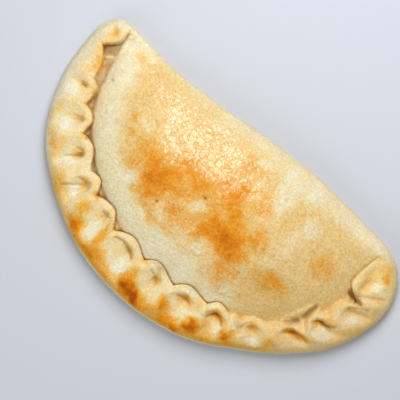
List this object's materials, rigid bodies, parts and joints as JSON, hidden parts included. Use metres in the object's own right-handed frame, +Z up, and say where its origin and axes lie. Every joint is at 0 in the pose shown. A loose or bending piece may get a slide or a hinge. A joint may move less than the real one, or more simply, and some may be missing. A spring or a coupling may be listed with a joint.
{
  "type": "calzone",
  "caption": "Baked folded pizza of golden dough in a half-moon, plump over its filling, with a rolled and thumb-crimped rim round its curved side.",
  "frame": {"origin": "middle of the base, on the surface that the calzone lies on", "axes": "+X along the length, from the end where the rim's crimps start small to the end where they finish in a broad flap; +Y towards the folded edge, which has no crimps; +Z up"},
  "size_m": [0.2396, 0.1308, 0.0359],
  "materials": {
    "crust": "baked dough, pale gold with browned patches and a slight gloss of oil on top"
  },
  "bodies": {
    "root": {"crust": "crust"}
  },
  "joints": []
}
